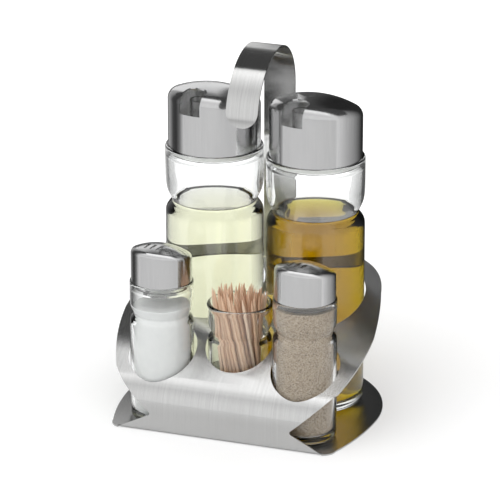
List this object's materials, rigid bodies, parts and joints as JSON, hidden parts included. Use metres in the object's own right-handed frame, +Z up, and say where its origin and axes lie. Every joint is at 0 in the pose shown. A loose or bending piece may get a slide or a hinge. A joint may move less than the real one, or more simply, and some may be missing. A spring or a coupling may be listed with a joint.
{
  "type": "cruet set",
  "caption": "Folded steel stand with a hooked handle, holding capped glass oil and vinegar bottles, salt and pepper shakers and an open jar of toothpicks.",
  "frame": {"origin": "on the table, under the middle of the set's bounding box", "axes": "+X to the right of someone facing the shakers, +Y towards the handle strip at the back, +Z up"},
  "size_m": [0.1598, 0.1409, 0.225],
  "materials": {
    "stand_steel": "brushed",
    "cap_steel": "satin",
    "clear_glass": "clear, smooth",
    "vinegar": "clear liquid",
    "oil": "clear liquid",
    "salt": "fine white grains",
    "pepper": "fine brown grains",
    "plug_plastic": "satin",
    "seal_silicone": "soft, translucent",
    "pick_wood": "bare"
  },
  "bodies": {
    "stand": {"base_plate": "stand_steel", "tray": "stand_steel", "hook_handle": "stand_steel"},
    "vinegar_bottle": {"vinegar_bottle_glass": "clear_glass", "vinegar_liquid": "vinegar"},
    "vinegar_cap": {"vinegar_cap_shell": "cap_steel", "vinegar_pour_plug": "plug_plastic", "vinegar_seal_ring": "seal_silicone"},
    "oil_bottle": {"oil_bottle_glass": "clear_glass", "oil_liquid": "oil"},
    "oil_cap": {"oil_cap_shell": "cap_steel", "oil_pour_plug": "plug_plastic", "oil_seal_ring": "seal_silicone"},
    "salt_shaker": {"salt_shaker_glass": "clear_glass", "salt_filling": "salt"},
    "salt_cap": {"salt_cap_shell": "cap_steel", "salt_cap_plug": "plug_plastic"},
    "pepper_shaker": {"pepper_shaker_glass": "clear_glass", "pepper_filling": "pepper"},
    "pepper_cap": {"pepper_cap_shell": "cap_steel", "pepper_cap_plug": "plug_plastic"},
    "toothpick_jar": {"toothpick_jar_glass": "clear_glass", "toothpicks": "pick_wood"}
  },
  "joints": [
    {"name": "vinegar_bottle_lift", "type": "slide", "parent": "stand", "child": "vinegar_bottle", "axis": [0, 0, 1], "range_m": [0, 0.014]},
    {"name": "vinegar_cap_lift", "type": "slide", "parent": "vinegar_bottle", "child": "vinegar_cap", "axis": [0, 0, 1], "range_m": [0, 0.011]},
    {"name": "oil_bottle_lift", "type": "slide", "parent": "stand", "child": "oil_bottle", "axis": [0, 0, 1], "range_m": [0, 0.014]},
    {"name": "oil_cap_lift", "type": "slide", "parent": "oil_bottle", "child": "oil_cap", "axis": [0, 0, 1], "range_m": [0, 0.011]},
    {"name": "salt_shaker_lift", "type": "slide", "parent": "stand", "child": "salt_shaker", "axis": [0, 0, 1], "range_m": [0, 0.058]},
    {"name": "salt_cap_lift", "type": "slide", "parent": "salt_shaker", "child": "salt_cap", "axis": [0, 0, 1], "range_m": [0, 0.012]},
    {"name": "pepper_shaker_lift", "type": "slide", "parent": "stand", "child": "pepper_shaker", "axis": [0, 0, 1], "range_m": [0, 0.058]},
    {"name": "pepper_cap_lift", "type": "slide", "parent": "pepper_shaker", "child": "pepper_cap", "axis": [0, 0, 1], "range_m": [0, 0.012]},
    {"name": "toothpick_jar_lift", "type": "slide", "parent": "stand", "child": "toothpick_jar", "axis": [0, 0, 1], "range_m": [0, 0.062]}
  ]
}
